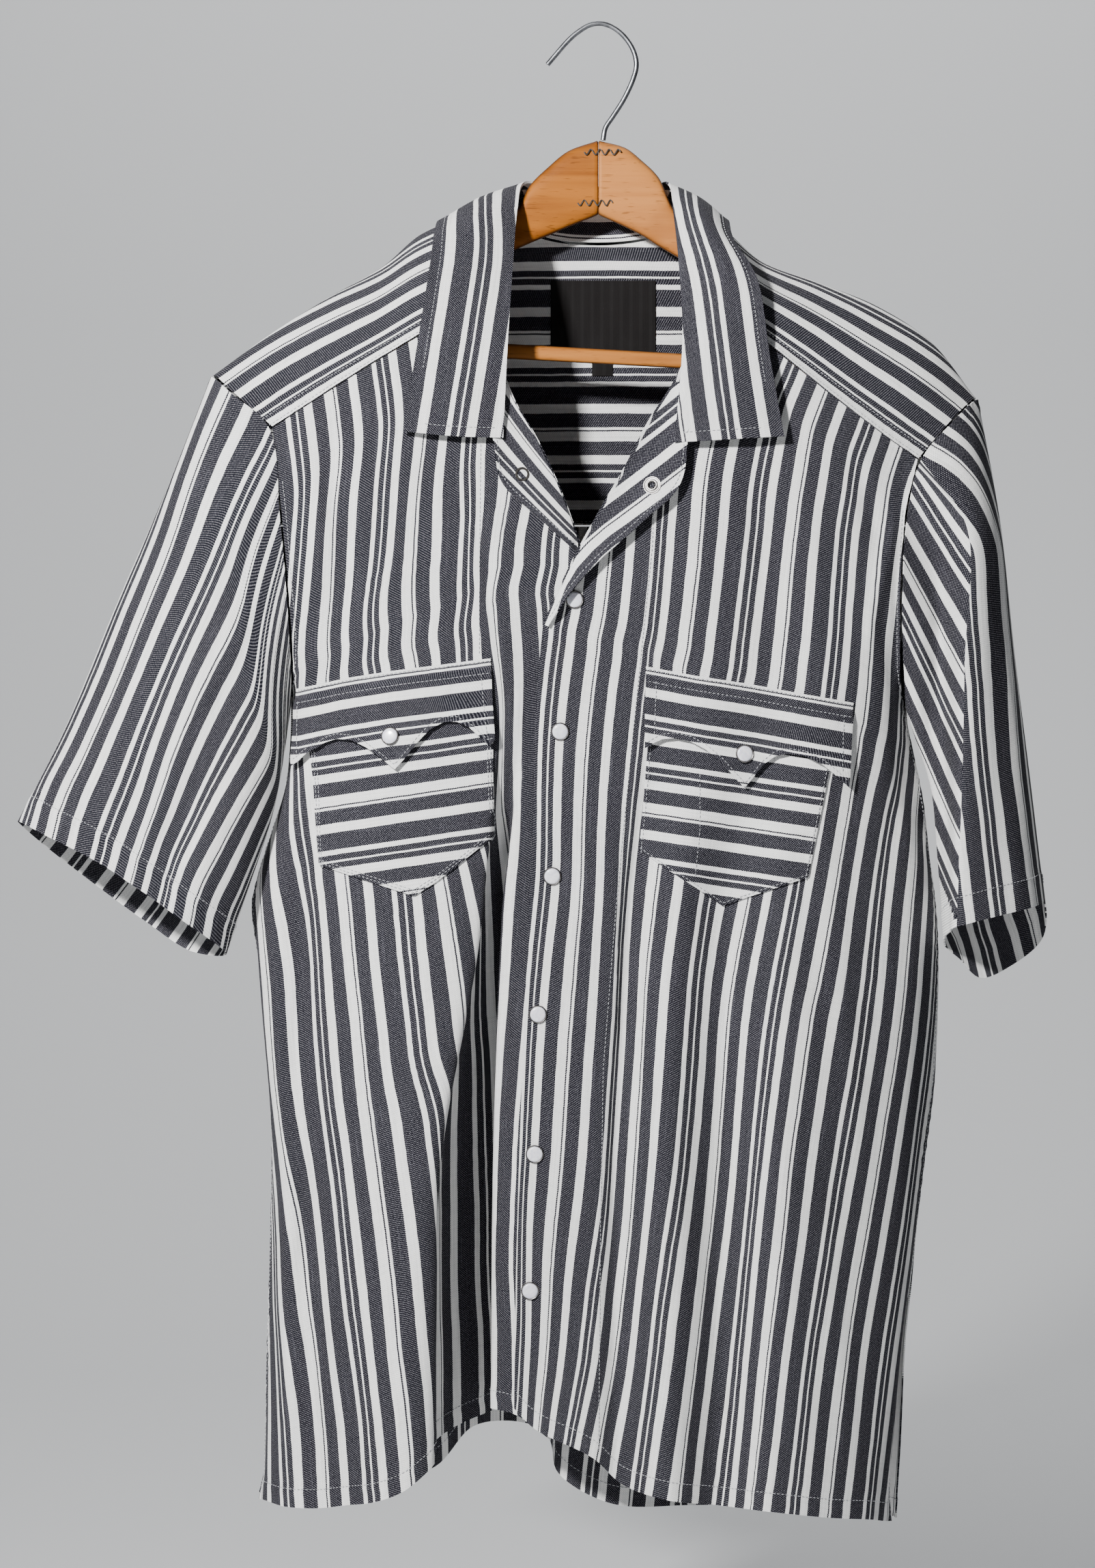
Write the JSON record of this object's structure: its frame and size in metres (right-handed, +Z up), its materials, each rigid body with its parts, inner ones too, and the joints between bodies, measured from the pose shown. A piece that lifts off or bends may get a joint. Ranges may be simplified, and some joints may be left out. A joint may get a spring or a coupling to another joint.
{
  "type": "pearl snap shirt on a wooden hanger",
  "caption": "Short-sleeved striped shirt with a camp collar, pearl snaps and scalloped flap pockets, open at the neck, on a wooden hanger with a wire hook and trouser bar.",
  "frame": {"origin": "inside of the top of the hook's bend, where the hanger rests on a rail or peg", "axes": "+Z up, -Y towards the front of the shirt, +X to the right of someone facing the shirt"},
  "size_m": [0.6486, 0.1342, 0.9455],
  "materials": {
    "striped_cloth": "woven stripe, matte",
    "label_cloth": "black woven ribbon, bare",
    "pearl_cap": "white, softly pearly",
    "snap_metal": "nickel",
    "hook_steel": "dulled wire",
    "hanger_wood": "old varnish"
  },
  "bodies": {
    "root": {"back": "striped_cloth", "collar": "striped_cloth", "collar_stand": "striped_cloth", "front_left": "striped_cloth", "front_right": "striped_cloth", "lapel_left": "striped_cloth", "lapel_right": "striped_cloth", "pocket_flap_left": "striped_cloth", "pocket_flap_right": "striped_cloth", "pocket_left": "striped_cloth", "pocket_right": "striped_cloth", "sleeve_left": "striped_cloth", "sleeve_right": "striped_cloth", "yoke_back": "striped_cloth", "yoke_front_left": "striped_cloth", "yoke_front_right": "striped_cloth", "label": "label_cloth", "size_tab": "label_cloth", "snap_cap_front_1": "pearl_cap", "snap_cap_front_2": "pearl_cap", "snap_cap_front_3": "pearl_cap", "snap_cap_front_4": "pearl_cap", "snap_cap_front_5": "pearl_cap", "snap_cap_front_6": "pearl_cap", "snap_cap_flap_left": "pearl_cap", "snap_cap_flap_right": "pearl_cap", "snap_rim_front_1": "snap_metal", "snap_rim_front_2": "snap_metal", "snap_rim_front_3": "snap_metal", "snap_rim_front_4": "snap_metal", "snap_rim_front_5": "snap_metal", "snap_rim_front_6": "snap_metal", "snap_rim_flap_left": "snap_metal", "snap_rim_flap_right": "snap_metal", "lapel_ring": "snap_metal", "lapel_socket": "snap_metal", "hanger_arm_left": "hanger_wood", "hanger_arm_right": "hanger_wood", "trouser_bar": "hanger_wood", "hook": "hook_steel", "corrugated_fastener_1": "hook_steel", "corrugated_fastener_2": "hook_steel"}
  },
  "joints": []
}
